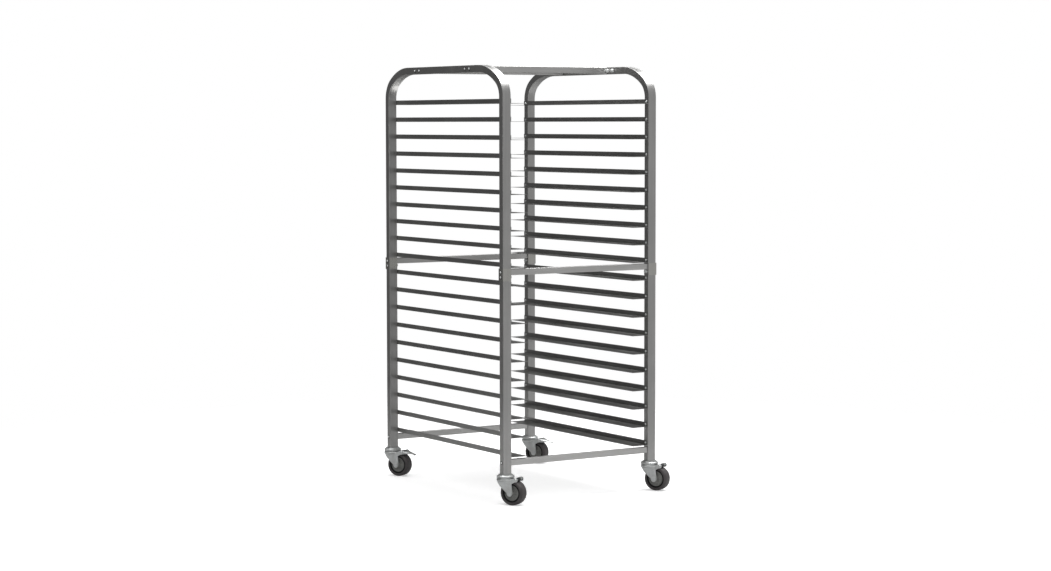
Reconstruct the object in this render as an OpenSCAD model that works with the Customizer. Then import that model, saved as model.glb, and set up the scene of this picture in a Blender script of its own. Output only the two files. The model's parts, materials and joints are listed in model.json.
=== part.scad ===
// Sheet pan rack: two tubular side frames joined by cross bars, with angle slides for the pans, on casters.
// X is the rack's width, Y its depth with the loading side at -Y, and Z is up.
// The origin is the centre of the footprint, on the floor.

/* [Rack] */
// Width across the outer faces of the side frames
rack_w = 742; // [738:1:800]
// Depth of the side frames
rack_d = 960; // [900:1:1000]
// Height of the side frames above the floor
rack_h = 1757; // [1750:1:1800]
// Height of the joint between the upper frames and the legs
seam_z = 921; // [920:0.5:922]

/* [Frame tube] */
// Tube width, across the rack
tube_w = 38; // [36:1:40]
// Tube depth, along the rack
tube_d = 29; // [27:1:30]
// Tube wall thickness
tube_wall = 1.5; // [1.2:0.1:2]
// Outside radius of the tube's long edges
tube_edge_r = 2; // [2:0.5:3]
// Outside radius of a bend where it leaves the post
side_bend_r = 100; // [80:5:120]
// Outside radius of a bend where it runs into the top
top_bend_r = 250; // [200:10:260]

/* [Slides] */
// Slides on each half of a side frame
slides_per_half = 10; // [4:1:10]
// Spacing of the slides on the upper frames
upper_pitch = 72.6; // [60:0.1:73]
// Spacing of the slides on the legs
lower_pitch = 76.2; // [60:0.1:76.5]
// Height of a slide's upright web
slide_h = 19; // [16:1:20]
// Width of the ledge that carries a pan
ledge_w = 75; // [40:1:90]
// Sheet thickness of a slide
slide_t = 1.2; // [1:0.1:2]

/* [Cross bars] */
// Height of a middle or bottom bar
bar_h = 25; // [22:1:26]
// Height of a top bar, which is level with the tops of the side frames
top_bar_h = 27; // [25:1:28]
// Depth of a cross bar
bar_d = 20; // [16:1:20]
// Wall thickness of a cross bar
bar_wall = 1.5; // [1.2:0.1:2]
// Height of the bottom bars' centre line above the floor
bottom_bar_z = 168; // [165:1:172]

/* [Casters] */
// Height from the floor to the foot of a leg
caster_h = 122; // [121:1:124]
// Wheel diameter
wheel_d = 100; // [92:1:101]
// Tread width
tread_w = 46; // [32:1:46]
// Distance from the swivel axis back to the axle
trail = 36; // [32:1:38]
// Direction in which the casters trail at rest, in degrees from +X
heading = -60; // [-180:1:180]

/* [Hidden] */

$fn = 48;
gap = 0.05;         // running clearance, on the radius or on one face
bond = 0.02;        // layer of adhesive between the tyre and the wheel centre
cut = 1;            // how far a cutting shape runs past the face it opens
edge_fn = 32;

// Where the posts, the frame's inner faces and the joints are
post_x = rack_w / 2 - tube_w / 2;
post_y = rack_d / 2 - tube_d / 2;
inner_x = rack_w / 2 - tube_w;

// A bend changes radius on the slope of a triangle with sides of 3, 4 and 5
slope = [3, 4];
bend_reach = 0.4 * side_bend_r + 0.6 * top_bend_r;
bend_rise = 0.8 * side_bend_r + 0.2 * top_bend_r;
bend_y = rack_d / 2 - bend_reach;
bend_z = rack_h - bend_rise;
top_tube_z = rack_h - tube_d / 2;

// Fasteners of the frame
bolt_r = 3;
bolt_hole_r = bolt_r + gap;
bolt_len = 50;
bolt_head_r = 5.5;
bolt_head_h = 3.2;
nut_flats = 13;
nut_h = 6.5;
plate_t = 3;
sleeve_t = 2;
sleeve_h = 50;
joint_bolt_z = [seam_z + 10.5, seam_z - 10];
middle_bar_z = joint_bolt_z[0];

// Top bars: the flange carries two bolts, and the bar stands beside them, towards the middle of the rack
top_bolt_y = 205;
top_bolt_gap = 34;
top_bar_y = 170;
flange_w = 66;
flange_h = 20;

plug_len = 30;
spigot_len = 56;
spigot_wall = 2;
insert_len = 30;

// Slides: the lowest face of each one, from the joint outwards
upper_slide_z = seam_z + 27;
lower_slide_z = seam_z - 46.5;
fold_r = 2.4;
rivet_r = 2;
rivet_head_r = 5;
rivet_head_h = 2.8;
rivet_bulb_r = 2.8;
rivet_bulb_len = 4;

// Casters: heights above the floor and distances from the swivel axis
wheel_r = wheel_d / 2;
sheet = 3;
crown_z = caster_h - 16;
crown_r = 35;
crown_tab = [24, 40];
head_r = 36;
stem_r = 6;
kingpin_r = 5;
race_h = 3;
fork_in = tread_w / 2 + 2;
fork_out = fork_in + sheet;
axle_r = 4;
sleeve_r = 6;
boss_r = 11;
lug = [58, caster_h - 18];
lug_r = 6.5;
collar_r = 9;
collar_t = 4;
lip_r = 0.62 * wheel_r;
tread_in_r = 0.77 * wheel_r;
pedal_len = 48;
pedal_t = 2.5;
pedal_drop = 10;
pedal_barrel_r = 6;
pedal_nose_r = 3.95;

function slide_z(upper, i) = upper ? upper_slide_z + i * upper_pitch : lower_slide_z - i * lower_pitch;

// ---- Shared shapes ----

// A rectangle with rounded corners
module tube_section(w, h, r) {
    square([w - 2 * r, h], center = true);
    square([w, h - 2 * r], center = true);
    for (x = [-1, 1], y = [-1, 1]) {
        translate([x * (w / 2 - r), y * (h / 2 - r)]) circle(r, $fn = edge_fn);
    }
}

// A solid cylinder along X, from x = 0
module rod_x(r, length) {
    rotate([0, 90, 0]) cylinder(r = r, h = length);
}

// A solid cylinder along Y, centred
module rod_y(r, length) {
    rotate([90, 0, 0]) cylinder(r = r, h = length, center = true);
}

module hex_x(flats, length) {
    rotate([0, 90, 0]) cylinder(d = flats / cos(30), h = length, $fn = 6);
}

// Children are drawn at the left front corner, and copied to the corners asked for
module at_corners(sides = [0, 1], ends = [0, 1]) {
    for (side = sides, end = ends) {
        mirror([side, 0, 0]) mirror([0, end, 0]) children();
    }
}

// ---- Side frames ----

// The part of a quarter bend about X that lies inside the given triangle of Y and Z
module bent_tube(outer_r, triangle, w, d, r) {
    intersection() {
        rotate([90, 0, 90]) rotate_extrude(angle = 90, $fn = 96)
            translate([outer_r - tube_d / 2, 0]) tube_section(d, w, r);
        rotate([90, 0, 90]) linear_extrude(2 * tube_w, center = true) polygon(outer_r * triangle);
    }
}

// An inverted U in the YZ plane, centred on X = 0, filled with the given section.
// Each corner turns on a small radius above the post, and then on a large one into the top.
module frame_sweep(w, d, r, foot_z) {
    for (end = [0, 1]) {
        mirror([0, end, 0]) {
            translate([0, post_y, foot_z]) linear_extrude(bend_z - foot_z) tube_section(w, d, r);
            translate([0, rack_d / 2 - side_bend_r, bend_z])
                bent_tube(side_bend_r, [[0, 0], [slope[0], 0], slope], w, d, r);
            translate([0, bend_y, rack_h - top_bend_r])
                bent_tube(top_bend_r, [[0, 0], slope, [0, slope[1]]], w, d, r);
        }
    }
    translate([0, -bend_y, top_tube_z]) rotate([-90, 0, 0]) linear_extrude(2 * bend_y) tube_section(w, d, r);
}

// Holes through one wall of a left front post, for the rivets of one half's slides
module rivet_holes(upper) {
    for (i = [0 : slides_per_half - 1]) {
        translate([-inner_x - tube_wall - cut, -post_y, slide_z(upper, i) + slide_h / 2])
            rod_x(rivet_r + gap, tube_wall + 2 * cut);
    }
}

// Bolt holes right through the left side frame
module bolt_hole(y, z) {
    translate([-rack_w / 2 - cut, y, z]) rod_x(bolt_hole_r, tube_w + 2 * cut);
}

// The left upper frame; the right one is its mirror image
module upper_frame() {
    color("silver") difference() {
        translate([-post_x, 0, 0]) difference() {
            frame_sweep(tube_w, tube_d, tube_edge_r, seam_z);
            frame_sweep(tube_w - 2 * tube_wall, tube_d - 2 * tube_wall, tube_edge_r - tube_wall, seam_z - cut);
        }
        at_corners(sides = [0]) {
            rivet_holes(true);
            bolt_hole(-post_y, joint_bolt_z[0]);
            for (k = [-1, 1]) {
                bolt_hole(-top_bolt_y + k * top_bolt_gap / 2, top_tube_z);
            }
        }
    }
}

// The left front leg; the others are its mirror images
module leg() {
    color("silver") difference() {
        translate([-post_x, -post_y, caster_h]) difference() {
            linear_extrude(seam_z - caster_h) tube_section(tube_w, tube_d, tube_edge_r);
            translate([0, 0, -cut]) linear_extrude(seam_z - caster_h + 2 * cut)
                tube_section(tube_w - 2 * tube_wall, tube_d - 2 * tube_wall, tube_edge_r - tube_wall);
        }
        rivet_holes(false);
        bolt_hole(-post_y, joint_bolt_z[1]);
        bolt_hole(-post_y, bottom_bar_z);
    }
}

// The sleeve inside a post that lines the leg up with the frame above it
module spigot() {
    w = tube_w - 2 * tube_wall - 2 * gap;
    d = tube_d - 2 * tube_wall - 2 * gap;
    difference() {
        translate([-post_x, -post_y, seam_z - spigot_len / 2]) difference() {
            linear_extrude(spigot_len) tube_section(w, d, tube_edge_r - tube_wall);
            translate([0, 0, -cut]) linear_extrude(spigot_len + 2 * cut)
                square([w - 2 * spigot_wall, d - 2 * spigot_wall], center = true);
        }
        for (z = joint_bolt_z) {
            bolt_hole(-post_y, z);
        }
    }
}

module leg_spigots() {
    color("gray") at_corners() spigot();
}

// The folded sleeve round the outer, front and rear faces of each post, over the joint
module joint_sleeves() {
    color("silver") at_corners() difference() {
        translate([-rack_w / 2 - sleeve_t, -post_y - tube_d / 2 - sleeve_t, seam_z - sleeve_h / 2])
            cube([tube_w + sleeve_t - slide_t, tube_d + 2 * sleeve_t, sleeve_h]);
        translate([-rack_w / 2, -post_y - tube_d / 2, seam_z - sleeve_h / 2 - cut])
            cube([tube_w + cut, tube_d, sleeve_h + 2 * cut]);
        for (z = joint_bolt_z) {
            translate([-sleeve_t, 0, 0]) bolt_hole(-post_y, z);
        }
    }
}

// The block in the foot of each leg that takes the caster's stem
module leg_inserts() {
    color("dimgray") at_corners() translate([-post_x, -post_y, caster_h]) difference() {
        linear_extrude(insert_len)
            tube_section(tube_w - 2 * tube_wall, tube_d - 2 * tube_wall, tube_edge_r - tube_wall);
        translate([0, 0, -cut]) cylinder(r = stem_r, h = insert_len + 2 * cut);
    }
}

// ---- Cross bars ----

// A rectangular tube along X between the side frames' inner faces, less the given amount at each end
module bar_tube(h, end_room) {
    length = 2 * (inner_x - end_room);
    translate([-length / 2, 0, 0]) rotate([90, 0, 90]) difference() {
        linear_extrude(length) tube_section(bar_d, h, 2);
        translate([0, 0, -cut]) linear_extrude(length + 2 * cut)
            square([bar_d - 2 * bar_wall, h - 2 * bar_wall], center = true);
    }
}

// The front one of the top bars, with a bolting flange welded on each end
module top_bar() {
    color("lightgray") {
        translate([0, -top_bar_y, rack_h - top_bar_h / 2]) bar_tube(top_bar_h, plate_t);
        for (side = [0, 1]) {
            mirror([side, 0, 0]) difference() {
                translate([-inner_x, -top_bolt_y - flange_w / 2 + 8, top_tube_z - flange_h / 2])
                    cube([plate_t, flange_w, flange_h]);
                for (k = [-1, 1]) {
                    translate([tube_w, 0, 0]) bolt_hole(-top_bolt_y + k * top_bolt_gap / 2, top_tube_z);
                }
            }
        }
    }
}

// The front one of a pair of bars that butt against the posts
module post_bar(z) {
    color("lightgray") translate([0, -post_y, z]) bar_tube(bar_h, 0);
}

// The threaded blocks pressed into the ends of the middle and bottom bars
module bar_end_plugs() {
    color("gray") at_corners() {
        for (z = [middle_bar_z, bottom_bar_z]) {
            translate([-inner_x, -post_y, z]) difference() {
                translate([0, -bar_d / 2 + bar_wall, -bar_h / 2 + bar_wall])
                    cube([plug_len, bar_d - 2 * bar_wall, bar_h - 2 * bar_wall]);
                translate([-cut, 0, 0]) rod_x(bolt_r, plug_len / 2 + cut);
            }
        }
    }
}

// ---- Slides ----

// The folded section of a slide: upright web, rounded fold and wide ledge
module slide_section() {
    translate([0, fold_r]) square([slide_t, slide_h - fold_r]);
    translate([fold_r, 0]) square([ledge_w - fold_r, slide_t]);
    intersection() {
        square(fold_r);
        translate([fold_r, fold_r]) difference() {
            circle(fold_r, $fn = edge_fn);
            circle(fold_r - slide_t, $fn = edge_fn);
        }
    }
}

// One angle slide of the left side frame, with its ledge pointing into the rack
module slide(z) {
    translate([-inner_x, 0, z]) difference() {
        translate([0, rack_d / 2, 0]) rotate([90, 0, 0]) linear_extrude(rack_d) slide_section();
        for (y = [-post_y, post_y]) {
            translate([-cut, y, slide_h / 2]) rod_x(rivet_r + gap, slide_t + 2 * cut);
        }
    }
}

// The slides of one half of a side frame
module slides(side, upper) {
    color("dimgray") mirror([side, 0, 0]) {
        for (i = [0 : slides_per_half - 1]) {
            slide(slide_z(upper, i));
        }
    }
}

// A blind rivet along X, turned: bulb behind the wall, shank, and domed head from x = 0
module rivet() {
    grip = tube_wall + slide_t;
    rotate([0, 90, 0]) rotate_extrude() polygon([
        [0, -grip - rivet_bulb_len], [rivet_bulb_r, -grip - rivet_bulb_len], [rivet_bulb_r, -grip],
        [rivet_r, -grip], [rivet_r, 0], [rivet_head_r, 0], [0.92 * rivet_head_r, 0.45 * rivet_head_h],
        [0.72 * rivet_head_r, 0.78 * rivet_head_h], [0.4 * rivet_head_r, rivet_head_h], [0, rivet_head_h],
    ]);
}

module slide_rivets() {
    color("white") at_corners() {
        for (upper = [true, false], i = [0 : slides_per_half - 1]) {
            translate([-inner_x + slide_t, -post_y, slide_z(upper, i) + slide_h / 2]) rivet();
        }
    }
}

// ---- Frame fasteners ----

// A domed bolt along X, with the underside of its head at x = 0
module frame_bolt() {
    intersection() {
        translate([6.4 - bolt_head_h, 0, 0]) sphere(6.4);
        translate([-bolt_head_h, 0, 0]) rod_x(bolt_head_r, bolt_head_h);
    }
    translate([-bolt_head_h / 2, 0, 0]) rod_x(bolt_r, bolt_len + bolt_head_h / 2);
}

module frame_bolts() {
    color("white") at_corners() {
        for (k = [-1, 1]) {
            translate([-rack_w / 2, -top_bolt_y + k * top_bolt_gap / 2, top_tube_z]) frame_bolt();
        }
        for (z = joint_bolt_z) {
            translate([-rack_w / 2 - sleeve_t, -post_y, z]) frame_bolt();
        }
        translate([-rack_w / 2, -post_y, bottom_bar_z]) frame_bolt();
    }
}

// A hexagon nut along X, on the inner side of what it clamps
module frame_nut() {
    difference() {
        hex_x(nut_flats, nut_h);
        translate([-cut, 0, 0]) rod_x(bolt_r, nut_h + 2 * cut);
    }
}

module frame_nuts() {
    color("white") at_corners() {
        for (k = [-1, 1]) {
            translate([-inner_x + plate_t, -top_bolt_y + k * top_bolt_gap / 2, top_tube_z]) frame_nut();
        }
        translate([-inner_x, -post_y, joint_bolt_z[1]]) frame_nut();
    }
}

// ---- Casters ----
// A caster is drawn with its swivel axis on Z and its wheel trailing towards +X.

module place_caster(side, end) {
    translate([side * post_x, end * post_y, 0]) rotate([0, 0, heading]) children();
}

module at_casters() {
    for (side = [-1, 1], end = [-1, 1]) {
        place_caster(side, end) children();
    }
}

// The fixed half: threaded stem, flange, race cup and kingpin, turned from one bar
module caster_stems() {
    color("silver") at_casters() rotate_extrude($fn = 96) polygon([
        [0, crown_z - 10], [kingpin_r, crown_z - 10], [kingpin_r, crown_z + race_h],
        [head_r, crown_z + race_h], [head_r, caster_h - 6], [head_r - 3, caster_h - 4],
        [30, caster_h - 4], [29, caster_h], [stem_r, caster_h],
        [stem_r, caster_h + insert_len - 2], [0, caster_h + insert_len - 2],
    ]);
}

// The hardened ring that the fork turns under
module swivel_races() {
    color("gray") at_casters() translate([0, 0, crown_z + gap]) difference() {
        cylinder(r = 30, h = race_h - gap);
        translate([0, 0, -cut]) cylinder(r = 20, h = race_h + 2 * cut);
    }
}

// The nut on the kingpin, under the fork's crown
module kingpin_nuts() {
    color("silver") at_casters() translate([0, 0, crown_z - 9]) difference() {
        cylinder(d = 16 / cos(30), h = 9 - sheet - gap, $fn = 6);
        translate([0, 0, -cut]) cylinder(r = kingpin_r, h = 9 + 2 * cut);
    }
}

// The outline of one fork cheek, in X and Z
module cheek_outline() {
    polygon([
        [-crown_tab[0], crown_z], [crown_tab[1], crown_z], [lug[0], lug[1] + lug_r],
        [lug[0] - 3, lug[1] - lug_r], [trail + 10, crown_z - 14],
        [trail + boss_r, wheel_r], [trail - boss_r, wheel_r - 2], [2, wheel_r + 22], [-22, crown_z - 14],
    ]);
    translate([trail, wheel_r]) circle(boss_r);
    translate(lug) circle(lug_r);
}

// Crown disc and two cheeks, pressed from one sheet
module fork() {
    color("silver") difference() {
        union() {
            translate([0, 0, crown_z - sheet]) cylinder(r = crown_r, h = sheet, $fn = 96);
            translate([-crown_tab[0], -fork_out, crown_z - sheet])
                cube([crown_tab[0] + crown_tab[1], 2 * fork_out, sheet]);
            for (v = [-fork_out, fork_in]) {
                translate([0, v + sheet, 0]) rotate([90, 0, 0]) linear_extrude(sheet) cheek_outline();
            }
        }
        cylinder(r = kingpin_r + gap, h = caster_h);
        translate([trail, 0, wheel_r]) rod_y(axle_r, 3 * fork_out);
        translate([lug[0], 0, lug[1]]) rod_y(axle_r, 3 * fork_out);
    }
}

// A hexagon-headed bolt along Y, with its head on the -Y cheek
module cheek_bolt(length) {
    translate([0, -fork_out, 0]) rotate([-90, 0, 0]) {
        cylinder(r = axle_r, h = length);
        translate([0, 0, -5]) cylinder(d = 13 / cos(30), h = 5, $fn = 6);
    }
}

module axle_bolt() {
    color("silver") translate([trail, 0, wheel_r]) cheek_bolt(2 * fork_out + 7);
}

module axle_nut() {
    color("silver") translate([trail, fork_out, wheel_r]) rotate([-90, 0, 0]) difference() {
        cylinder(d = 13 / cos(30), h = 6, $fn = 6);
        translate([0, 0, -cut]) cylinder(r = axle_r, h = 6 + 2 * cut);
    }
}

// The spacer between the cheeks, which is the wheel's plain bearing
module axle_sleeve() {
    color("gray") translate([trail, 0, wheel_r]) difference() {
        rod_y(sleeve_r, 2 * fork_in);
        rod_y(axle_r, 3 * fork_in);
    }
}

module cross_bolt() {
    color("dimgray") translate([lug[0], 0, lug[1]]) {
        rod_y(axle_r, 2 * fork_out);
        for (v = [-1, 1]) {
            translate([0, v * (fork_out + collar_t / 2), 0]) rod_y(collar_r, collar_t);
        }
    }
}

// Children's X is the radius and their Y the place across the wheel
module spin() {
    translate([trail, 0, wheel_r]) rotate([90, 0, 0]) rotate_extrude($fn = 128) children();
}

module wheel_hub() {
    bore = sleeve_r + gap;
    half = tread_w / 2;
    color("gray") spin() {
        translate([bore, -half - 1.5]) square([5, tread_w + 3]);
        translate([bore, -half / 2]) square([lip_r - bore, half]);
        translate([lip_r - 5, -half + 2]) square([5, tread_w - 4]);
    }
}

// Recessed side lip and rounded tread, moulded on the hub
module tyre() {
    half = tread_w / 2;
    bore = lip_r + bond;
    shoulder = 10;
    color("dimgray") spin() {
        translate([bore, -half + 4]) square([tread_in_r - bore + bond, tread_w - 8]);
        intersection() {
            translate([tread_in_r, -half]) square([wheel_r - tread_in_r, tread_w]);
            union() {
                translate([tread_in_r, -half]) square([wheel_r - shoulder - tread_in_r, tread_w]);
                translate([tread_in_r, -half + shoulder]) square([wheel_r - tread_in_r, tread_w - 2 * shoulder]);
                for (v = [-1, 1]) {
                    translate([wheel_r - shoulder, v * (half - shoulder)]) circle(shoulder);
                }
            }
        }
    }
}

// Foot lever on the cross bolt, with a nose that grips the tread when the lever is down
module brake_pedal() {
    wide = 2 * fork_in - 2;
    top = pedal_barrel_r - 1;
    toe = top - pedal_drop;
    color("silver") translate([lug[0], 0, lug[1]]) difference() {
        intersection() {
            translate([0, wide / 2, 0]) rotate([90, 0, 0]) linear_extrude(wide) {
                circle(pedal_barrel_r);
                translate([0, -pedal_nose_r]) circle(pedal_nose_r);
                polygon([
                    [0, top - pedal_t], [pedal_len, toe - pedal_t], [pedal_len + 8, toe - pedal_t - 4],
                    [pedal_len + 9, toe - 4], [pedal_len + 1, toe], [0, top],
                ]);
            }
            linear_extrude(4 * pedal_barrel_r, center = true) polygon([
                [-10, -wide / 2 - cut], [12, -wide / 2 - cut], [pedal_len + 10, -10],
                [pedal_len + 10, 10], [12, wide / 2 + cut], [-10, wide / 2 + cut],
            ]);
        }
        rod_y(axle_r + gap, 2 * wide);
    }
}

upper_frame();  // left_upper_frame
mirror([1, 0, 0]) upper_frame();  // right_upper_frame
leg();  // left_front_leg
mirror([0, 1, 0]) leg();  // left_rear_leg
mirror([1, 0, 0]) leg();  // right_front_leg
mirror([1, 0, 0]) mirror([0, 1, 0]) leg();  // right_rear_leg
leg_spigots();
joint_sleeves();
leg_inserts();
top_bar();  // top_front_bar
mirror([0, 1, 0]) top_bar();  // top_rear_bar
post_bar(middle_bar_z);  // middle_front_bar
mirror([0, 1, 0]) post_bar(middle_bar_z);  // middle_rear_bar
post_bar(bottom_bar_z);  // bottom_front_bar
mirror([0, 1, 0]) post_bar(bottom_bar_z);  // bottom_rear_bar
bar_end_plugs();
slides(0, true);  // left_upper_slides
slides(0, false);  // left_lower_slides
slides(1, true);  // right_upper_slides
slides(1, false);  // right_lower_slides
slide_rivets();
frame_bolts();
frame_nuts();
caster_stems();
swivel_races();
kingpin_nuts();
place_caster(-1, -1) fork();  // left_front_fork
place_caster(-1, -1) axle_bolt();  // left_front_axle_bolt
place_caster(-1, -1) axle_nut();  // left_front_axle_nut
place_caster(-1, -1) axle_sleeve();  // left_front_axle_sleeve
place_caster(-1, -1) cross_bolt();  // left_front_cross_bolt
place_caster(-1, -1) wheel_hub();  // left_front_wheel_hub
place_caster(-1, -1) tyre();  // left_front_tyre
place_caster(1, -1) fork();  // right_front_fork
place_caster(1, -1) axle_bolt();  // right_front_axle_bolt
place_caster(1, -1) axle_nut();  // right_front_axle_nut
place_caster(1, -1) axle_sleeve();  // right_front_axle_sleeve
place_caster(1, -1) cross_bolt();  // right_front_cross_bolt
place_caster(1, -1) wheel_hub();  // right_front_wheel_hub
place_caster(1, -1) tyre();  // right_front_tyre
place_caster(-1, 1) fork();  // left_rear_fork
place_caster(-1, 1) axle_bolt();  // left_rear_axle_bolt
place_caster(-1, 1) axle_nut();  // left_rear_axle_nut
place_caster(-1, 1) axle_sleeve();  // left_rear_axle_sleeve
place_caster(-1, 1) cross_bolt();  // left_rear_cross_bolt
place_caster(-1, 1) wheel_hub();  // left_rear_wheel_hub
place_caster(-1, 1) tyre();  // left_rear_tyre
place_caster(-1, 1) brake_pedal();  // left_rear_brake_pedal
place_caster(1, 1) fork();  // right_rear_fork
place_caster(1, 1) axle_bolt();  // right_rear_axle_bolt
place_caster(1, 1) axle_nut();  // right_rear_axle_nut
place_caster(1, 1) axle_sleeve();  // right_rear_axle_sleeve
place_caster(1, 1) cross_bolt();  // right_rear_cross_bolt
place_caster(1, 1) wheel_hub();  // right_rear_wheel_hub
place_caster(1, 1) tyre();  // right_rear_tyre
place_caster(1, 1) brake_pedal();  // right_rear_brake_pedal
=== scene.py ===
"""Sheet pan rack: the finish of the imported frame, the drawn caster detail, and the studio."""
import json
import math

import bmesh
import bpy
from mathutils import Matrix, Vector


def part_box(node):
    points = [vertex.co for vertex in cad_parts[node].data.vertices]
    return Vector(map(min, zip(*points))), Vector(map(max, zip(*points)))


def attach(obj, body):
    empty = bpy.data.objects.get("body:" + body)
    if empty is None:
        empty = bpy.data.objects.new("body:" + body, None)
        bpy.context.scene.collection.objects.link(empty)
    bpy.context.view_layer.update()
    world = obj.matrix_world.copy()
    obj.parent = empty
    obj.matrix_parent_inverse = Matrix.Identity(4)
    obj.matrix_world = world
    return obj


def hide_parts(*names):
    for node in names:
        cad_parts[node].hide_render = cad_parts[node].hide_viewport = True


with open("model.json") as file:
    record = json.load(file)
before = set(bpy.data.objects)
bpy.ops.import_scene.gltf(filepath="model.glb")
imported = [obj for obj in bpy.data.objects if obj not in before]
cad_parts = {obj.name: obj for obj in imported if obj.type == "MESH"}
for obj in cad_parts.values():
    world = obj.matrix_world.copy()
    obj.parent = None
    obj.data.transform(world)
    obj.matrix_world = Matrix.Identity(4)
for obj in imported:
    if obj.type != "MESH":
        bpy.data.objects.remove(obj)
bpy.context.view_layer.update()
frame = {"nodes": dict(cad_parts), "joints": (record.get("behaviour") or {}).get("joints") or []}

NODES = frame["nodes"]
JOINTS = {joint["name"]: joint for joint in frame["joints"]}
CORNERS = ("left_front", "right_front", "left_rear", "right_rear")
MM = 0.001

# Camera: where it stands, where it looks and its lens
CAMERA_PLACE = (-5.2364, -8.373, 1.5267)
CAMERA_YAW = 32.2
CAMERA_PITCH = 3.99
CAMERA_ROLL = -0.08
CAMERA_LENS = 80.17

# Studio: what the metal reflects, from behind on the left (0) round to the front right (1), and from above
STUDIO_FRONT = (0.62, -0.78, 0.0)
STUDIO_HORIZON = ((0.1, 0.13), (0.45, 0.22), (0.95, 0.46))
OVERHEAD_BAND = (0.55, 0.9)
OVERHEAD_LEVEL = 1.1
FLOOR_RADIUS = 3.2
# The floor is kept darker in the metal's reflections, and its shadows are filled a little for the camera
FLOOR_TONE = 0.93
FLOOR_SEEN_BY_METAL = 0.5
FLOOR_FILL = 0.42
# Lights: name, place, target, size and power
LIGHTS = (
    ("key", (2.2, 0.0, 5.0), (0, 0, 0.9), 2.5, 110),
    ("floor_wash", (0, 0, 4.2), (0, 0, 0), 3.5, 110),
    ("side_glint", (-4.2, -1.0, 1.3), (0, 0, 0.8), 0.9, 9),
)


# ---- Materials ----

# Noise scales along and across the brushing: for its fine lines, and for its longer streaks
FINE_GRAIN = (9.0, 900.0)
STREAK_GRAIN = (2.5, 120.0)


class Shader:
    """A node material with one Principled BSDF, and short helpers for the nodes around it."""

    def __init__(self, owner):
        """Takes a new material's name, or the world."""
        self.material = bpy.data.materials.new(owner) if isinstance(owner, str) else owner
        self.material.use_nodes = True
        self.tree = self.material.node_tree
        self.principled = self.tree.nodes.get("Principled BSDF")
        self.coords = self.tree.nodes.new("ShaderNodeTexCoord").outputs["Object"]

    def link(self, source, target):
        self.tree.links.new(source, target)

    def value(self, target, value):
        """Sets a socket from a number, a colour or another socket."""
        if isinstance(value, bpy.types.NodeSocket):
            self.link(value, target)
        else:
            target.default_value = value

    def stretched(self, axis, grain):
        """The object coordinates scaled along and across an axis, which gives a noise a grain."""
        along, across = grain
        mapping = self.tree.nodes.new("ShaderNodeMapping")
        mapping.inputs["Scale"].default_value = [along if name == axis else across for name in "xyz"]
        self.link(self.coords, mapping.inputs["Vector"])
        return mapping.outputs["Vector"]

    def noise(self, scale, detail=3.0, roughness=0.55, vector=None):
        node = self.tree.nodes.new("ShaderNodeTexNoise")
        node.inputs["Scale"].default_value = scale
        node.inputs["Detail"].default_value = detail
        node.inputs["Roughness"].default_value = roughness
        self.link(vector or self.coords, node.inputs["Vector"])
        return node.outputs["Fac"]

    def spread(self, source, low, high, start=0.3, end=0.7):
        """Maps source from start..end onto low..high."""
        node = self.tree.nodes.new("ShaderNodeMapRange")
        self.value(node.inputs["Value"], source)
        node.inputs["From Min"].default_value = start
        node.inputs["From Max"].default_value = end
        node.inputs["To Min"].default_value = low
        node.inputs["To Max"].default_value = high
        return node.outputs["Result"]

    def math(self, operation, a, b):
        node = self.tree.nodes.new("ShaderNodeMath")
        node.operation = operation
        self.value(node.inputs[0], a)
        self.value(node.inputs[1], b)
        return node.outputs[0]

    def vector_math(self, operation, a, b):
        """The number that a vector operation gives."""
        node = self.tree.nodes.new("ShaderNodeVectorMath")
        node.operation = operation
        self.value(node.inputs[0], a)
        self.value(node.inputs[1], b)
        return node.outputs["Value"]

    def ramp(self, factor, levels):
        """A grey that follows (position, level) pairs, eased between them."""
        node = self.tree.nodes.new("ShaderNodeValToRGB")
        node.color_ramp.interpolation = "EASE"
        stops = node.color_ramp.elements
        while len(stops) < len(levels):
            stops.new(0.5)
        for stop, (position, level) in zip(stops, levels):
            stop.position = position
            stop.color = grey(level)
        self.link(factor, node.inputs["Fac"])
        return node.outputs["Color"]

    def mix_shaders(self, factor, a, b):
        node = self.tree.nodes.new("ShaderNodeMixShader")
        self.value(node.inputs["Fac"], factor)
        self.link(a, node.inputs[1])
        self.link(b, node.inputs[2])
        return node.outputs["Shader"]

    def blend(self, factor, a, b):
        """a where factor is 0 and b where it is 1, for colours."""
        node = self.tree.nodes.new("ShaderNodeMix")
        node.data_type = "RGBA"
        self.value(node.inputs["Factor"], factor)
        self.value(node.inputs["A"], a)
        self.value(node.inputs["B"], b)
        return node.outputs["Result"]

    def bump(self, height, strength, distance):
        node = self.tree.nodes.new("ShaderNodeBump")
        node.inputs["Strength"].default_value = strength
        node.inputs["Distance"].default_value = distance
        self.link(height, node.inputs["Height"])
        self.link(node.outputs["Normal"], self.principled.inputs["Normal"])

    def finish(self, **sockets):
        for name, value in sockets.items():
            self.value(self.principled.inputs[name.replace("_", " ")], value)
        return self.material


def grey(level, tint=(1.0, 1.0, 1.0)):
    return (level * tint[0], level * tint[1], level * tint[2], 1.0)


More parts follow.
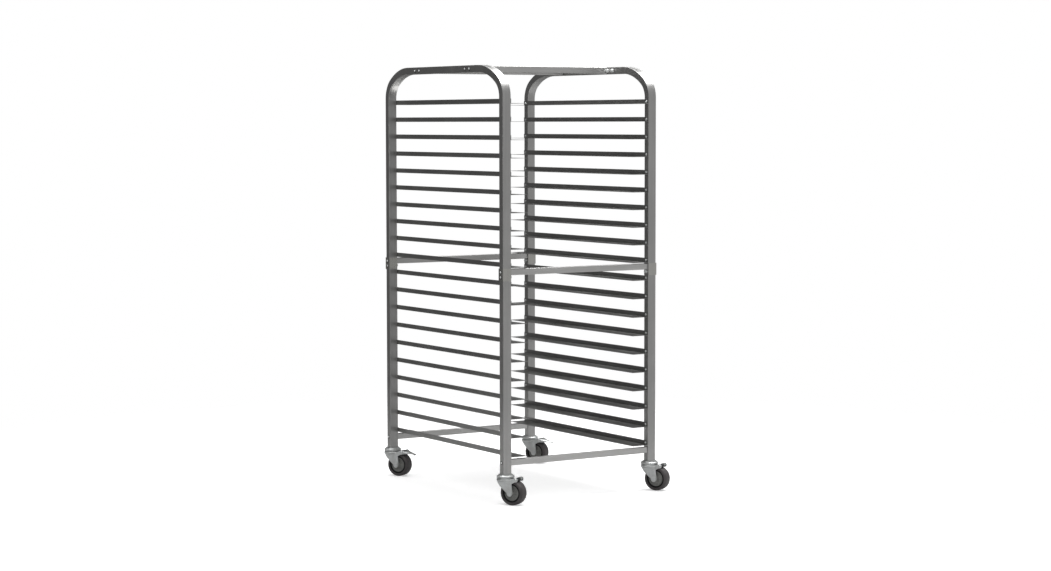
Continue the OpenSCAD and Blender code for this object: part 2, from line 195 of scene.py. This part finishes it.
def brushed_steel(name, level, roughness, axis, tint=(1.0, 0.995, 0.98)):
    """Satin stainless: fine brushing along one axis, cloudy polish marks and darker handled patches."""
    shader = Shader(name)
    fine = shader.noise(1.0, 2.0, vector=shader.stretched(axis, FINE_GRAIN))
    streaks = shader.noise(1.0, 3.0, vector=shader.stretched(axis, STREAK_GRAIN))
    clouds = shader.noise(7.0, 4.0)
    worn = shader.spread(clouds, 0.0, 1.0, 0.35, 0.68)
    tone = shader.blend(worn, grey(level * 0.92, tint), grey(level * 1.06, tint))
    colour = shader.blend(shader.spread(streaks, 0.0, 0.5), tone, grey(level * 0.8, tint))
    cloudy = shader.spread(clouds, roughness - 0.05, roughness + 0.06)
    rough = shader.math("ADD", shader.spread(fine, -0.05, 0.05), cloudy)
    height = shader.math("ADD", fine, shader.math("MULTIPLY", streaks, 0.6))
    shader.bump(height, 0.12, 0.0004)
    return shader.finish(Base_Color=colour, Metallic=1.0, Roughness=rough, Anisotropic=0.35)


def zinc(name, level, roughness, metallic=1.0):
    """Bright zinc plating: spangled tone, faint blue, dulled in patches."""
    shader = Shader(name)
    spangle = shader.noise(160.0, 2.0)
    patches = shader.noise(26.0, 4.0)
    cool, bright = grey(level * 0.9, (0.97, 1.0, 1.0)), grey(level, (0.98, 1.0, 0.99))
    tone = shader.blend(shader.spread(spangle, 0.0, 1.0), cool, bright)
    dull = grey(level * 0.62, (1.0, 0.99, 0.95))
    colour = shader.blend(shader.spread(patches, 0.0, 0.6, 0.45, 0.75), tone, dull)
    shader.bump(shader.noise(420.0, 2.0), 0.1, 0.0003)
    rough = shader.spread(patches, roughness, roughness + 0.18)
    return shader.finish(Base_Color=colour, Metallic=metallic, Roughness=rough)


def plastic(name, level, roughness, tint=(1.0, 1.0, 1.0)):
    """Moulded plastic or rubber: fine surface grain, dusty patches."""
    shader = Shader(name)
    dust = shader.noise(38.0, 5.0)
    fine = shader.noise(900.0, 2.0)
    dusty = grey(level * 1.5 + 0.01, tint)
    colour = shader.blend(shader.spread(dust, 0.0, 1.0, 0.4, 0.75), grey(level, tint), dusty)
    shader.bump(fine, 0.25, 0.0003)
    return shader.finish(Base_Color=colour, Roughness=shader.spread(dust, roughness - 0.06, roughness + 0.1))


# How light the posts' steel is; the other steels are set against it. The slides' darker level is painted
# shade and the bars' lighter level is painted light, for how light falls on them
FRAME_LEVEL = 0.50
MATERIALS = {
    "post": brushed_steel("post_steel", FRAME_LEVEL, 0.36, "z"),
    # Slides: the post steel made darker, as painted shade
    "slide": brushed_steel("slide_steel_painted_shade", FRAME_LEVEL * 0.79, 0.34, "y"),
    # Bars: the post steel made lighter, as painted light
    "bar": brushed_steel("bar_steel_painted_light", FRAME_LEVEL * 1.32, 0.36, "x"),
    "plate": brushed_steel("plate_steel", FRAME_LEVEL * 1.15, 0.3, "z", (1.0, 0.99, 0.94)),
    # Bolts, nuts and rivets: matt near-white zinc, a painted glint that stands in for the light reflected in
    # their polished heads
    "fastener": zinc("fastener_zinc_painted_glint", 0.97, 0.16, 0.0),
    "zinc": zinc("caster_zinc", 0.78, 0.3),
    "insert": plastic("insert_plastic", 0.03, 0.5),
    "hub": plastic("hub_plastic", 0.2, 0.42, (1.0, 1.01, 0.96)),
    "tyre": plastic("tyre_rubber", 0.06, 0.5, (1.06, 0.96, 0.97)),
    # Near-black, darker than the tread rubber: painted shade for the recess between the tread and the wheel
    # centre
    "lip": plastic("tyre_lip", 0.004, 0.75),
    # Dark zinc for the bolt washers and the cross-bolt spacer; on the spacer the dark is in part painted
    # shade under the fork head
    "dark": zinc("dark_zinc_and_painted_shade", 0.1, 0.4),
}


def material_for(node):
    """The finish of a carried-over CAD node, by its name."""
    if node.endswith(("upper_frame", "_leg")):
        return MATERIALS["post"]
    if node.endswith("_slides"):
        return MATERIALS["slide"]
    if node.endswith("_bar"):
        return MATERIALS["bar"]
    if node in ("joint_sleeves", "leg_spigots", "bar_end_plugs"):
        return MATERIALS["plate"]
    if node in ("slide_rivets", "frame_bolts", "frame_nuts"):
        return MATERIALS["fastener"]
    if node == "leg_inserts":
        return MATERIALS["insert"]
    if node.endswith("wheel_hub"):
        return MATERIALS["hub"]
    if node.endswith("tyre"):
        return MATERIALS["tyre"]
    return MATERIALS["zinc"]


def paint_cad_nodes():
    for name, node in NODES.items():
        node.data.materials.clear()
        node.data.materials.append(material_for(name))


# ---- Casters ----
# A caster is drawn in millimetres in its own frame: U is the way it trails, V lies along the axle, W is up.

# The fork: its crown, the sheet it is pressed from, and how far its cheeks stand off the tyre
CROWN_TOP = 106.0
CROWN_R = 35.0
FORK_SHEET = 2.6
FORK_GAP = 2.0
# A cheek: its front and rear edge at the crown, its round tip at the axle, and how wide its edge curls over
CHEEK_TOP = (-27.0, 38.0)
TIP_R = 13.0
TIP_SHIFT = 5.0
CURL = 5.0
# The cross bolt behind the fork, in U and W, with the round eye of each ear around it
CROSS_BOLT = (58.0, 104.0)
EAR_R = 9.0
BRAKED_SLEEVE = 20.0
PLAIN_SLEEVE = 9.0
# The wheel: from its centre out to the lip of the tyre, painted near-black as painted shade of the recess,
# and from there out to the tread
LIP_R = 31.0
TREAD_IN_R = 38.5
TREAD_SHOULDER = 8.0
WHEEL_INSET = 4.0
HUB_RIBS = 10
# The pieces that are drawn as a surface, with the thickness of their sheet
SHEETS = {"_pressed_fork": FORK_SHEET, "_pressed_pedal": 2.0}
# The edge angles, in degrees, up to which sheets and solid pieces are shaded smooth
SHEET_SMOOTH = 50
SOLID_SMOOTH = 35
# How many steps a ring is turned in
LARGE_RING = 96
RING = 72
SMALL_RING = 40


class Caster:
    """Where one caster is, worked out from its joints and its wheel."""

    def __init__(self, corner):
        swivel = Vector(JOINTS[corner + "_swivel_turn"]["pos_m"])
        axle = Vector(JOINTS[corner + "_wheel_spin"]["pos_m"])
        across = Vector(JOINTS[corner + "_wheel_spin"]["axis"])
        along = Vector((axle.x - swivel.x, axle.y - swivel.y, 0))
        turn = Matrix((along.normalized(), across, Vector((0, 0, 1)))).transposed().to_4x4()
        self.trail = along.length / MM
        self.axle_h = axle.z / MM
        self.frame = Matrix.Translation((swivel.x, swivel.y, 0)) @ turn @ Matrix.Scale(MM, 4)
        self.wheel = self.across_at(self.trail, self.axle_h)
        tyre = NODES[corner + "_tyre"].data
        self.half = max((vertex.co - axle).dot(across) for vertex in tyre.vertices) / MM
        self.face = self.half - WHEEL_INSET
        self.fork_out = self.half + FORK_GAP + FORK_SHEET
        self.radius = (axle.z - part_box(corner + "_tyre")[0].z) / MM
        self.braked = corner + "_brake_pedal" in NODES

    def across_at(self, u, w):
        """The frame of a ring or bolt that lies along V, at U and W."""
        return self.frame @ Matrix.Translation((u, 0, w)) @ Matrix.Rotation(math.radians(-90), 4, "X")


def new_piece(name, shape, material, body, stands_for=(), smooth=SOLID_SMOOTH):
    """Turns a bmesh, already in metres in the row frame, into a piece that rides on a body."""
    mesh = bpy.data.meshes.new(name)
    bmesh.ops.recalc_face_normals(shape, faces=shape.faces)
    shape.to_mesh(mesh)
    shape.free()
    mesh.materials.append(MATERIALS[material])
    mesh.shade_smooth()
    mesh.set_sharp_from_angle(angle=math.radians(smooth))
    piece = bpy.data.objects.new(name, mesh)
    bpy.context.scene.collection.objects.link(piece)
    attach(piece, body)
    if stands_for:
        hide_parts(*stands_for)
    return piece


def thicken(piece, sheet):
    """Gives a piece drawn as a surface the thickness of its sheet, in millimetres, half to each side."""
    solid = piece.modifiers.new("sheet", "SOLIDIFY")
    solid.thickness = sheet * MM
    solid.offset = 0.0


def turn_profile(shape, profile, segments, closed):
    """Turns a profile of (radius, place along the axis) about the local Z axis."""
    rings = []
    for step in range(segments):
        angle = math.tau * step / segments
        rings.append([shape.verts.new((r * math.cos(angle), r * math.sin(angle), v)) for r, v in profile])
    count = len(profile)
    for step, ring in enumerate(rings):
        following = rings[(step + 1) % segments]
        for k in range(count if closed else count - 1):
            after = (k + 1) % count
            shape.faces.new((ring[k], following[k], following[after], ring[after]))


def add_ring(shape, profile, segments=RING):
    turn_profile(shape, profile, segments, closed=True)


def mirrored(profile):
    """Closes half a section, drawn from the middle outwards at V >= 0, with its mirror image."""
    return profile + [(r, -v) for r, v in reversed(profile)]


def add_tread(shape, caster):
    """Flat crown, rounded shoulders and an upright side wall."""
    steps, chamfer = 8, 1.2
    middle_r = caster.radius - TREAD_SHOULDER
    middle_v = caster.half - TREAD_SHOULDER
    profile = [(TREAD_IN_R, caster.half - chamfer), (TREAD_IN_R + chamfer, caster.half)]
    for step in range(steps + 1):
        angle = math.radians(90 - 90 * step / steps)
        across, outwards = TREAD_SHOULDER * math.sin(angle), TREAD_SHOULDER * math.cos(angle)
        profile.append((middle_r + outwards, middle_v + across))
    add_ring(shape, mirrored(profile), LARGE_RING)


def add_lip(shape, caster):
    """The band of the tyre between the tread and the wheel centre, with a raised bead, painted darker than
    the tread, near-black, as painted shade of the recess between them.
    """
    face = caster.face
    add_ring(shape, mirrored([
        (LIP_R + 0.1, face - 1.5), (LIP_R + 1.2, face), (LIP_R + 3.0, face + 0.8), (LIP_R + 4.6, face),
        (TREAD_IN_R - 0.1, face - 0.6),
    ]), LARGE_RING)


def around_rib(ends):
    """The four corners of a rib, from its half thickness at each end."""
    (inner_r, inner_w, inner_v), (outer_r, outer_w, outer_v) = ends
    return (
        (inner_r, -inner_w, inner_v), (outer_r, -outer_w, outer_v),
        (outer_r, outer_w, outer_v), (inner_r, inner_w, inner_v),
    )


def add_wheel_centre(shape, caster):
    """Rim, dished web, ribs and boss, moulded in one."""
    face = caster.face
    boss = caster.half + 1.2
    add_ring(shape, mirrored([
        (6.2, boss), (10.5, boss), (11.5, caster.half), (12.5, face - 3.0), (14.5, face - 4.0),
        (24.0, face - 4.0), (26.5, face - 3.0), (27.5, face - 0.8), (28.5, face), (30.0, face),
        (LIP_R, face - 1.0),
    ]))
    # A rib's foot and top, as radius, half thickness and height: it is lower and thinner towards the rim
    foot = ((11, 1.6, face - 4.5), (27, 1.1, face - 4.5))
    top = ((11, 1.1, face - 1.0), (27, 0.7, face - 2.2))
    for rib in range(HUB_RIBS):
        turn = Matrix.Rotation(math.tau * rib / HUB_RIBS, 3, "Z")
        for side in (-1, 1):
            low, high = (
                [shape.verts.new(turn @ Vector((r, w, side * v))) for r, w, v in around_rib(ends)]
                for ends in (foot, top)
            )
            shape.faces.new(high)
            shape.faces.new(low)
            for k in range(4):
                shape.faces.new((low[k], low[(k + 1) % 4], high[(k + 1) % 4], high[k]))


def cheek_edges(caster, drop):
    """Front and rear edge of a fork cheek in U, where drop goes from 0 at the crown to 1 at the axle."""
    middle = caster.trail - TIP_SHIFT
    front = CHEEK_TOP[0] + drop ** 1.5 * (middle - TIP_R - CHEEK_TOP[0])
    rear = CHEEK_TOP[1] + drop ** 0.7 * (middle + TIP_R - CHEEK_TOP[1])
    return front, rear


def curled_in(edge, depth):
    """How far a cheek curls inwards at a distance from its edge."""
    return max(0.0, 1 - edge / CURL) ** 2 * depth


def add_cheek(shape, caster, side):
    """A pressed cheek: wide at the crown, narrow and rounded at the axle, with its edges rolled inwards."""
    rows, tip_rows, columns = 18, 6, 12
    curl_depth, tip_curl_depth = 3.0, 1.5
    outer = caster.fork_out
    top = CROWN_TOP - 3.0
    middle = caster.trail - TIP_SHIFT
    grid = []
    for i in range(rows + 1):
        drop = i / rows
        height = top + drop * (caster.axle_h - top)
        front, rear = cheek_edges(caster, drop)
        line = []
        for j in range(columns + 1):
            across = j / columns
            u = front + (rear - front) * across
            roll = curled_in(min(across, 1 - across) * (rear - front), curl_depth)
            line.append(shape.verts.new((u, side * (outer - roll), height)))
        grid.append(line)
    for turn in range(1, tip_rows + 1):
        angle = math.radians(90 * turn / tip_rows)
        half_width = TIP_R * math.cos(angle)
        height = caster.axle_h - TIP_R * math.sin(angle)
        line = []
        for j in range(columns + 1):
            u = (2 * j / columns - 1) * half_width
            roll = curled_in(half_width - abs(u), tip_curl_depth)
            line.append(shape.verts.new((middle + u, side * (outer - roll), height)))
        grid.append(line)
    for lower, upper in zip(grid[1:], grid[:-1]):
        for j in range(columns):
            shape.faces.new((lower[j], lower[j + 1], upper[j + 1], upper[j]))


def add_ear(shape, caster, side):
    """The rear arm of a cheek, which narrows to a round eye on the cross bolt."""
    outer = caster.fork_out
    root_u = CHEEK_TOP[1] - 6.0
    bolt_u, bolt_w = CROSS_BOLT
    outline = [(root_u, CROWN_TOP - 1.0), (root_u, CROWN_TOP - 24.0)]
    start, sweep, steps = -110, 200, 12
    for step in range(steps + 1):
        angle = math.radians(start + sweep * step / steps)
        outline.append((bolt_u + EAR_R * math.cos(angle), bolt_w + EAR_R * math.sin(angle)))
    # The outer edge is rounded off towards a point in the middle of the arm
    middle = Vector((bolt_u - 8.0, bolt_w - 3.0))
    rings = []
    for inset, v in ((0.0, outer - FORK_SHEET), (0.0, outer - 0.8), (0.7, outer)):
        ring = []
        for u, w in outline:
            towards = (middle - Vector((u, w))).normalized() * inset
            ring.append(shape.verts.new((u + towards.x, side * v, w + towards.y)))
        rings.append(ring)
    count = len(outline)
    for low, high in zip(rings[:-1], rings[1:]):
        for k in range(count):
            shape.faces.new((low[k], low[(k + 1) % count], high[(k + 1) % count], high[k]))
    shape.faces.new(rings[0])
    shape.faces.new(rings[-1])


def add_pedal(shape, caster):
    """A foot lever: a tapered plate that slopes down to its curled toe, with its sides folded down."""
    bolt_u, bolt_w = CROSS_BOLT
    # Along the pedal: place behind the bolt, height over it, share of the tyre's width, depth of the sides
    stations = (
        (-19.0, 4.4, 0.8, 4.0), (-10.0, 5.2, 0.95, 9.0), (-3.0, 5.2, 1.0, 12.0),
        (6.0, 4.2, 1.0, 12.0), (16.0, 2.2, 0.86, 9.0), (30.0, -0.6, 0.6, 5.0),
        (44.0, -4.0, 0.42, 3.0), (53.0, -6.6, 0.34, 2.4), (57.0, -10.0, 0.3, 1.2),
    )
    bend, crowned = 2.0, 0.6
    rows = []
    for u, w, narrow, fold in stations:
        half = caster.half * narrow
        section = (
            (-half, w - fold), (-half, w - bend), (bend - half, w), (0.0, w + crowned),
            (half - bend, w), (half, w - bend), (half, w - fold),
        )
        rows.append([shape.verts.new((bolt_u + u, v, bolt_w + z)) for v, z in section])
    for back, front in zip(rows[:-1], rows[1:]):
        for k in range(len(back) - 1):
            shape.faces.new((back[k], back[k + 1], front[k + 1], front[k]))


def add_cross_bolt(shape, caster):
    """A pin through both ears, with a rounded head at each end."""
    ear = caster.fork_out
    add_ring(shape, mirrored([
        (0.3, ear + 3.4), (4.2, ear + 3.2), (5.8, ear + 2.2), (6.5, ear + 0.8), (6.5, ear), (4.0, ear),
    ]), SMALL_RING)


def add_bolt_sleeve(shape, caster):
    """The spacer on the cross bolt, with a step at each end."""
    half = BRAKED_SLEEVE if caster.braked else PLAIN_SLEEVE
    add_ring(shape, mirrored([
        (4.3, half), (6.6, half), (7.0, half - 0.5), (7.0, half - 3.0), (7.8, half - 3.6),
    ]), SMALL_RING)


def add_fork(shape, caster):
    """Both cheeks, and the round top with its rolled skirt."""
    for side in (-1, 1):
        add_cheek(shape, caster, side)
    turn_profile(shape, (
        (5.2, CROWN_TOP - 0.2), (CROWN_R - 4, CROWN_TOP - 0.2), (CROWN_R - 1.6, CROWN_TOP - 1.0),
        (CROWN_R - 0.2, CROWN_TOP - 3.0), (CROWN_R, CROWN_TOP - 6.0), (CROWN_R - 0.8, CROWN_TOP - 10.0),
    ), RING, closed=False)


def add_ears(shape, caster):
    for side in (-1, 1):
        add_ear(shape, caster, side)


def draw_caster(corner):
    """Draws the pieces of one caster, each on the body that it moves with."""
    caster = Caster(corner)
    bolt = caster.across_at(*CROSS_BOLT)
    # Name, shape, place, finish, body, slot, and the CAD node that the piece stands for
    drawn = [
        ("_tyre_tread", add_tread, caster.wheel, "tyre", "_wheel", "tyre_rubber", "_tyre"),
        ("_wheel_centre", add_wheel_centre, caster.wheel, "hub", "_wheel", "hub_plastic", "_wheel_hub"),
        ("_tyre_lip", add_lip, caster.wheel, "lip", "_wheel", "tyre_rubber", None),
        ("_pressed_fork", add_fork, caster.frame, "zinc", "_swivel", "zinc_plate", "_fork"),
        ("_fork_ears", add_ears, caster.frame, "zinc", "_swivel", "zinc_plate", None),
        ("_cross_pin", add_cross_bolt, bolt, "zinc", "_swivel", "caster_hardware", "_cross_bolt"),
        # The spacer is dark in part as painted shade under the fork head, and under the pedal where there is
        # one
        ("_bolt_sleeve", add_bolt_sleeve, bolt, "dark", "_swivel", "caster_hardware", None),
    ]
    if caster.braked:
        pedal = ("_pressed_pedal", add_pedal, caster.frame, "zinc", "_brake", "zinc_plate", "_brake_pedal")
        drawn.append(pedal)
    for name, adder, place, material, body, slot, node in drawn:
        shape = bmesh.new()
        adder(shape, caster)
        bmesh.ops.transform(shape, matrix=place, verts=shape.verts)
        stands_for = (corner + node,) if node else ()
        sheet = SHEETS.get(name)
        smooth = SHEET_SMOOTH if sheet else SOLID_SMOOTH
        piece = new_piece(corner + name, shape, material, corner + body, stands_for, smooth)
        if sheet:
            thicken(piece, sheet)


# ---- Bolt washers ----

BOLT_HEAD_H = 0.0032
WELD_DISTANCE = 0.00001
# A washer's section in millimetres: radius, and height over the tube
WASHER = ((3.2, 0.0), (3.2, 0.9), (7.6, 0.9), (8.0, 0.5), (8.0, 0.0))


def separate_solids(mesh):
    """The corner points of each separate solid of a mesh."""
    shape = bmesh.new()
    shape.from_mesh(mesh)
    bmesh.ops.remove_doubles(shape, verts=shape.verts, dist=WELD_DISTANCE)
    found = set()
    solids = []
    for first in shape.verts:
        if first in found:
            continue
        found.add(first)
        solid = [first]
        for vertex in solid:
            for edge in vertex.link_edges:
                neighbour = edge.other_vert(vertex)
                if neighbour not in found:
                    found.add(neighbour)
                    solid.append(neighbour)
        solids.append([vertex.co.copy() for vertex in solid])
    shape.free()
    return solids


def bolt_seats():
    """The side that each frame bolt goes in from, and where its head rests."""
    for points in separate_solids(NODES["frame_bolts"].data):
        side = 1 if points[0].x > 0 else -1
        seat_x = side * (max(side * point.x for point in points) - BOLT_HEAD_H)
        y, z = ((min(p[axis] for p in points) + max(p[axis] for p in points)) / 2 for axis in (1, 2))
        yield side, Vector((seat_x, y, z))


def draw_washers():
    """A dark washer under the head of each frame bolt."""
    shape = bmesh.new()
    for side, seat in bolt_seats():
        ring = bmesh.new()
        add_ring(ring, WASHER, SMALL_RING)
        outwards = Matrix.Rotation(math.radians(90 * side), 4, "Y")
        place = Matrix.Translation(seat) @ outwards @ Matrix.Scale(MM, 4)
        bmesh.ops.transform(ring, matrix=place, verts=ring.verts)
        mesh = bpy.data.meshes.new("washer")
        ring.to_mesh(mesh)
        ring.free()
        shape.from_mesh(mesh)
        bpy.data.meshes.remove(mesh)
    new_piece("bolt_washers", shape, "dark", "root")


# ---- Studio ----

def world_light():
    """The camera sees a white backdrop, and the metal a soft studio: dark on the left, light in front."""
    world = bpy.data.worlds.new("studio")
    bpy.context.scene.world = world
    world.use_nodes = True
    shader = Shader(world)
    direction = shader.tree.nodes["Texture Coordinate"].outputs["Generated"]
    facing = shader.vector_math("DOT_PRODUCT", direction, Vector(STUDIO_FRONT).normalized())
    height = shader.vector_math("DOT_PRODUCT", direction, (0, 0, 1))
    horizon = shader.ramp(shader.spread(facing, 0.0, 1.0, -1.0, 1.0), STUDIO_HORIZON)
    lift = shader.spread(height, 0.0, 1.0, *OVERHEAD_BAND)
    background = shader.tree.nodes["Background"]
    shader.link(shader.blend(lift, horizon, grey(OVERHEAD_LEVEL)), background.inputs["Color"])
    backdrop = shader.tree.nodes.new("ShaderNodeBackground")
    backdrop.inputs["Color"].default_value = grey(1.0)
    seen = shader.tree.nodes.new("ShaderNodeLightPath").outputs["Is Camera Ray"]
    mix = shader.mix_shaders(seen, background.outputs["Background"], backdrop.outputs["Background"])
    shader.link(mix, shader.tree.nodes["World Output"].inputs["Surface"])


def area_light(name, place, target, size, power):
    lamp = bpy.data.lights.new(name, "AREA")
    lamp.size = size
    lamp.energy = power
    light = bpy.data.objects.new(name, lamp)
    bpy.context.scene.collection.objects.link(light)
    light.location = place
    light.rotation_euler = (Vector(target) - Vector(place)).to_track_quat("-Z", "Y").to_euler()


def floor():
    """A pale disc that fades out at its rim, so that it has no edge against the backdrop."""
    mesh = bpy.data.meshes.new("floor")
    shape = bmesh.new()
    bmesh.ops.create_circle(shape, cap_ends=True, segments=96, radius=FLOOR_RADIUS)
    shape.to_mesh(mesh)
    shape.free()
    disc = bpy.data.objects.new("floor", mesh)
    bpy.context.scene.collection.objects.link(disc)
    shader = Shader("pale_floor")
    shader.bump(shader.noise(30.0, 3.0), 0.02, 0.001)
    seen = shader.tree.nodes.new("ShaderNodeLightPath").outputs["Is Camera Ray"]
    tone = shader.blend(seen, grey(FLOOR_SEEN_BY_METAL), grey(FLOOR_TONE))
    shader.finish(Base_Color=tone, Roughness=0.7, Emission_Color=grey(1.0))
    shader.value(shader.principled.inputs["Emission Strength"], shader.math("MULTIPLY", seen, FLOOR_FILL))
    distance = shader.vector_math("LENGTH", shader.coords, (0, 0, 0))
    fade = shader.spread(distance, 0.0, 1.0, FLOOR_RADIUS * 0.3, FLOOR_RADIUS * 0.98)
    clear = shader.tree.nodes.new("ShaderNodeBsdfTransparent")
    mix = shader.mix_shaders(fade, shader.principled.outputs["BSDF"], clear.outputs["BSDF"])
    shader.link(mix, shader.tree.nodes["Material Output"].inputs["Surface"])
    mesh.materials.append(shader.material)


def camera():
    data = bpy.data.cameras.new("camera")
    data.lens = CAMERA_LENS
    data.sensor_width = 36.0
    data.clip_end = 100.0
    eye = bpy.data.objects.new("camera", data)
    bpy.context.scene.collection.objects.link(eye)
    eye.location = CAMERA_PLACE
    yaw = Matrix.Rotation(math.radians(-CAMERA_YAW), 4, "Z")
    pitch = Matrix.Rotation(math.radians(90 - CAMERA_PITCH), 4, "X")
    roll = Matrix.Rotation(math.radians(CAMERA_ROLL), 4, "Z")
    eye.rotation_euler = (yaw @ pitch @ roll).to_euler()
    bpy.context.scene.camera = eye


def studio():
    bpy.context.scene.view_settings.view_transform = "Standard"
    world_light()
    floor()
    for name, place, target, size, power in LIGHTS:
        area_light(name, place, target, size, power)
    camera()


paint_cad_nodes()
for corner in CORNERS:
    draw_caster(corner)
draw_washers()
studio()
